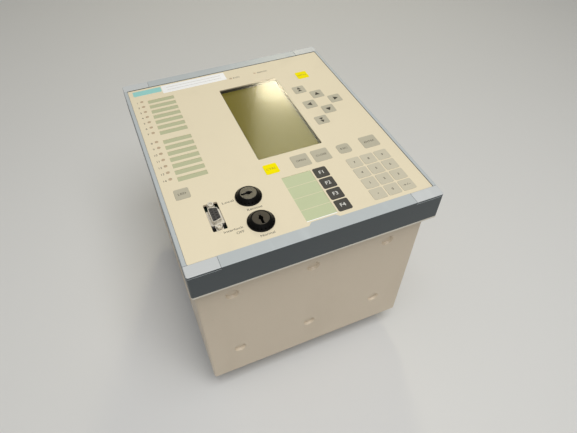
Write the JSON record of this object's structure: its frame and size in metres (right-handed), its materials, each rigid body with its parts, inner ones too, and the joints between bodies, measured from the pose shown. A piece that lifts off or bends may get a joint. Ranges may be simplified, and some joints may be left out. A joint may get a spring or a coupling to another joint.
{
  "type": "protection relay",
  "caption": "Flush-mount protection relay: sheet case, grey front frame, beige keypad front with display, lamps, key locks and service port, rear screw terminals.",
  "frame": {"origin": "under the middle of the front, on the surface that the rear terminals rest on", "axes": "+Z is the front's outward normal, +Y points to the front's top edge, +X to its right"},
  "size_m": [0.225, 0.266, 0.2357],
  "materials": {
    "case_paint": "satin beige paint on sheet metal",
    "zinc_steel": "zinc-plated steel",
    "frame_plastic": "satin blue-grey moulding",
    "foil": "matt printed film",
    "black_plastic": "black moulding",
    "clear_pane": "clear glossy pane",
    "display_glass": "olive liquid-crystal display, switched off",
    "lamp_lens": "red lamp lens, switched off",
    "label_film": "pale green label film",
    "rotor_metal": "satin nickel",
    "circuit_board": "green circuit board",
    "guide_plastic": "natural nylon",
    "brass": "bare brass",
    "key_light": "matt key cap",
    "key_yellow": "matt yellow key cap",
    "key_dark": "matt dark grey key cap"
  },
  "bodies": {
    "relay": {"case_shell": "case_paint", "rear_plate": "case_paint", "front_plate": "case_paint", "panel_flange": "zinc_steel", "lock_nuts": "zinc_steel", "port_shell": "zinc_steel", "port_jack_posts": "zinc_steel", "terminal_screws": "zinc_steel", "case_screws": "zinc_steel", "front_frame": "frame_plastic", "corner_covers": "frame_plastic", "front_foil": "foil", "display_liner": "black_plastic", "key_switches": "black_plastic", "local_lock_barrel": "black_plastic", "interlock_lock_barrel": "black_plastic", "lock_contact_blocks": "black_plastic", "port_insert": "black_plastic", "terminal_blocks": "black_plastic", "display_pane": "clear_pane", "display_module": "display_glass", "indicator_lamps": "lamp_lens", "label_strips": "label_film", "operator_board": "circuit_board", "processor_board": "circuit_board", "input_output_board": "circuit_board", "power_supply_board": "circuit_board", "card_guides": "guide_plastic", "earth_stud": "brass"},
    "local_lock": {"local_lock_rotor": "rotor_metal"},
    "interlock_lock": {"interlock_lock_rotor": "rotor_metal"},
    "menu_key": {"key_menu": "key_yellow"},
    "page_up_key": {"key_page_up": "key_light"},
    "up_key": {"key_up": "key_light"},
    "left_key": {"key_left": "key_light"},
    "right_key": {"key_right": "key_light"},
    "down_key": {"key_down": "key_light"},
    "page_down_key": {"key_page_down": "key_light"},
    "lamp_key": {"key_lamp": "key_light"},
    "ctrl_key": {"key_ctrl": "key_yellow"},
    "open_key": {"key_open": "key_light"},
    "close_key": {"key_close": "key_light"},
    "escape_key": {"key_escape": "key_light"},
    "enter_key": {"key_enter": "key_light"},
    "f1_key": {"key_f1": "key_dark"},
    "f2_key": {"key_f2": "key_dark"},
    "f3_key": {"key_f3": "key_dark"},
    "f4_key": {"key_f4": "key_dark"},
    "7_key": {"key_7": "key_light"},
    "8_key": {"key_8": "key_light"},
    "9_key": {"key_9": "key_light"},
    "4_key": {"key_4": "key_light"},
    "5_key": {"key_5": "key_light"},
    "6_key": {"key_6": "key_light"},
    "1_key": {"key_1": "key_light"},
    "2_key": {"key_2": "key_light"},
    "3_key": {"key_3": "key_light"},
    "point_key": {"key_point": "key_light"},
    "0_key": {"key_0": "key_light"},
    "sign_key": {"key_sign": "key_light"}
  },
  "joints": [
    {"name": "local_lock_turn", "type": "hinge", "parent": "relay", "child": "local_lock", "pos_m": [-0.0423, -0.0717, 0.231], "axis": [0, 0, 1], "range_deg": [0, 90]},
    {"name": "interlock_lock_turn", "type": "hinge", "parent": "relay", "child": "interlock_lock", "pos_m": [-0.0423, -0.1017, 0.231], "axis": [0, 0, 1], "range_deg": [-90, 0]},
    {"name": "menu_key_press", "type": "slide", "parent": "relay", "child": "menu_key", "axis": [0, 0, -1], "range_m": [0, 0.0006], "stiffness_N_per_m": 2500, "springref_m": -0.0002},
    {"name": "page_up_key_press", "type": "slide", "parent": "relay", "child": "page_up_key", "axis": [0, 0, -1], "range_m": [0, 0.0006], "stiffness_N_per_m": 2500, "springref_m": -0.0002},
    {"name": "up_key_press", "type": "slide", "parent": "relay", "child": "up_key", "axis": [0, 0, -1], "range_m": [0, 0.0006], "stiffness_N_per_m": 2500, "springref_m": -0.0002},
    {"name": "left_key_press", "type": "slide", "parent": "relay", "child": "left_key", "axis": [0, 0, -1], "range_m": [0, 0.0006], "stiffness_N_per_m": 2500, "springref_m": -0.0002},
    {"name": "right_key_press", "type": "slide", "parent": "relay", "child": "right_key", "axis": [0, 0, -1], "range_m": [0, 0.0006], "stiffness_N_per_m": 2500, "springref_m": -0.0002},
    {"name": "down_key_press", "type": "slide", "parent": "relay", "child": "down_key", "axis": [0, 0, -1], "range_m": [0, 0.0006], "stiffness_N_per_m": 2500, "springref_m": -0.0002},
    {"name": "page_down_key_press", "type": "slide", "parent": "relay", "child": "page_down_key", "axis": [0, 0, -1], "range_m": [0, 0.0006], "stiffness_N_per_m": 2500, "springref_m": -0.0002},
    {"name": "lamp_key_press", "type": "slide", "parent": "relay", "child": "lamp_key", "axis": [0, 0, -1], "range_m": [0, 0.0006], "stiffness_N_per_m": 2500, "springref_m": -0.0002},
    {"name": "ctrl_key_press", "type": "slide", "parent": "relay", "child": "ctrl_key", "axis": [0, 0, -1], "range_m": [0, 0.0006], "stiffness_N_per_m": 2500, "springref_m": -0.0002},
    {"name": "open_key_press", "type": "slide", "parent": "relay", "child": "open_key", "axis": [0, 0, -1], "range_m": [0, 0.0006], "stiffness_N_per_m": 2500, "springref_m": -0.0002},
    {"name": "close_key_press", "type": "slide", "parent": "relay", "child": "close_key", "axis": [0, 0, -1], "range_m": [0, 0.0006], "stiffness_N_per_m": 2500, "springref_m": -0.0002},
    {"name": "escape_key_press", "type": "slide", "parent": "relay", "child": "escape_key", "axis": [0, 0, -1], "range_m": [0, 0.0006], "stiffness_N_per_m": 2500, "springref_m": -0.0002},
    {"name": "enter_key_press", "type": "slide", "parent": "relay", "child": "enter_key", "axis": [0, 0, -1], "range_m": [0, 0.0006], "stiffness_N_per_m": 2500, "springref_m": -0.0002},
    {"name": "f1_key_press", "type": "slide", "parent": "relay", "child": "f1_key", "axis": [0, 0, -1], "range_m": [0, 0.0006], "stiffness_N_per_m": 2500, "springref_m": -0.0002},
    {"name": "f2_key_press", "type": "slide", "parent": "relay", "child": "f2_key", "axis": [0, 0, -1], "range_m": [0, 0.0006], "stiffness_N_per_m": 2500, "springref_m": -0.0002},
    {"name": "f3_key_press", "type": "slide", "parent": "relay", "child": "f3_key", "axis": [0, 0, -1], "range_m": [0, 0.0006], "stiffness_N_per_m": 2500, "springref_m": -0.0002},
    {"name": "f4_key_press", "type": "slide", "parent": "relay", "child": "f4_key", "axis": [0, 0, -1], "range_m": [0, 0.0006], "stiffness_N_per_m": 2500, "springref_m": -0.0002},
    {"name": "7_key_press", "type": "slide", "parent": "relay", "child": "7_key", "axis": [0, 0, -1], "range_m": [0, 0.0006], "stiffness_N_per_m": 2500, "springref_m": -0.0002},
    {"name": "8_key_press", "type": "slide", "parent": "relay", "child": "8_key", "axis": [0, 0, -1], "range_m": [0, 0.0006], "stiffness_N_per_m": 2500, "springref_m": -0.0002},
    {"name": "9_key_press", "type": "slide", "parent": "relay", "child": "9_key", "axis": [0, 0, -1], "range_m": [0, 0.0006], "stiffness_N_per_m": 2500, "springref_m": -0.0002},
    {"name": "4_key_press", "type": "slide", "parent": "relay", "child": "4_key", "axis": [0, 0, -1], "range_m": [0, 0.0006], "stiffness_N_per_m": 2500, "springref_m": -0.0002},
    {"name": "5_key_press", "type": "slide", "parent": "relay", "child": "5_key", "axis": [0, 0, -1], "range_m": [0, 0.0006], "stiffness_N_per_m": 2500, "springref_m": -0.0002},
    {"name": "6_key_press", "type": "slide", "parent": "relay", "child": "6_key", "axis": [0, 0, -1], "range_m": [0, 0.0006], "stiffness_N_per_m": 2500, "springref_m": -0.0002},
    {"name": "1_key_press", "type": "slide", "parent": "relay", "child": "1_key", "axis": [0, 0, -1], "range_m": [0, 0.0006], "stiffness_N_per_m": 2500, "springref_m": -0.0002},
    {"name": "2_key_press", "type": "slide", "parent": "relay", "child": "2_key", "axis": [0, 0, -1], "range_m": [0, 0.0006], "stiffness_N_per_m": 2500, "springref_m": -0.0002},
    {"name": "3_key_press", "type": "slide", "parent": "relay", "child": "3_key", "axis": [0, 0, -1], "range_m": [0, 0.0006], "stiffness_N_per_m": 2500, "springref_m": -0.0002},
    {"name": "point_key_press", "type": "slide", "parent": "relay", "child": "point_key", "axis": [0, 0, -1], "range_m": [0, 0.0006], "stiffness_N_per_m": 2500, "springref_m": -0.0002},
    {"name": "0_key_press", "type": "slide", "parent": "relay", "child": "0_key", "axis": [0, 0, -1], "range_m": [0, 0.0006], "stiffness_N_per_m": 2500, "springref_m": -0.0002},
    {"name": "sign_key_press", "type": "slide", "parent": "relay", "child": "sign_key", "axis": [0, 0, -1], "range_m": [0, 0.0006], "stiffness_N_per_m": 2500, "springref_m": -0.0002}
  ]
}
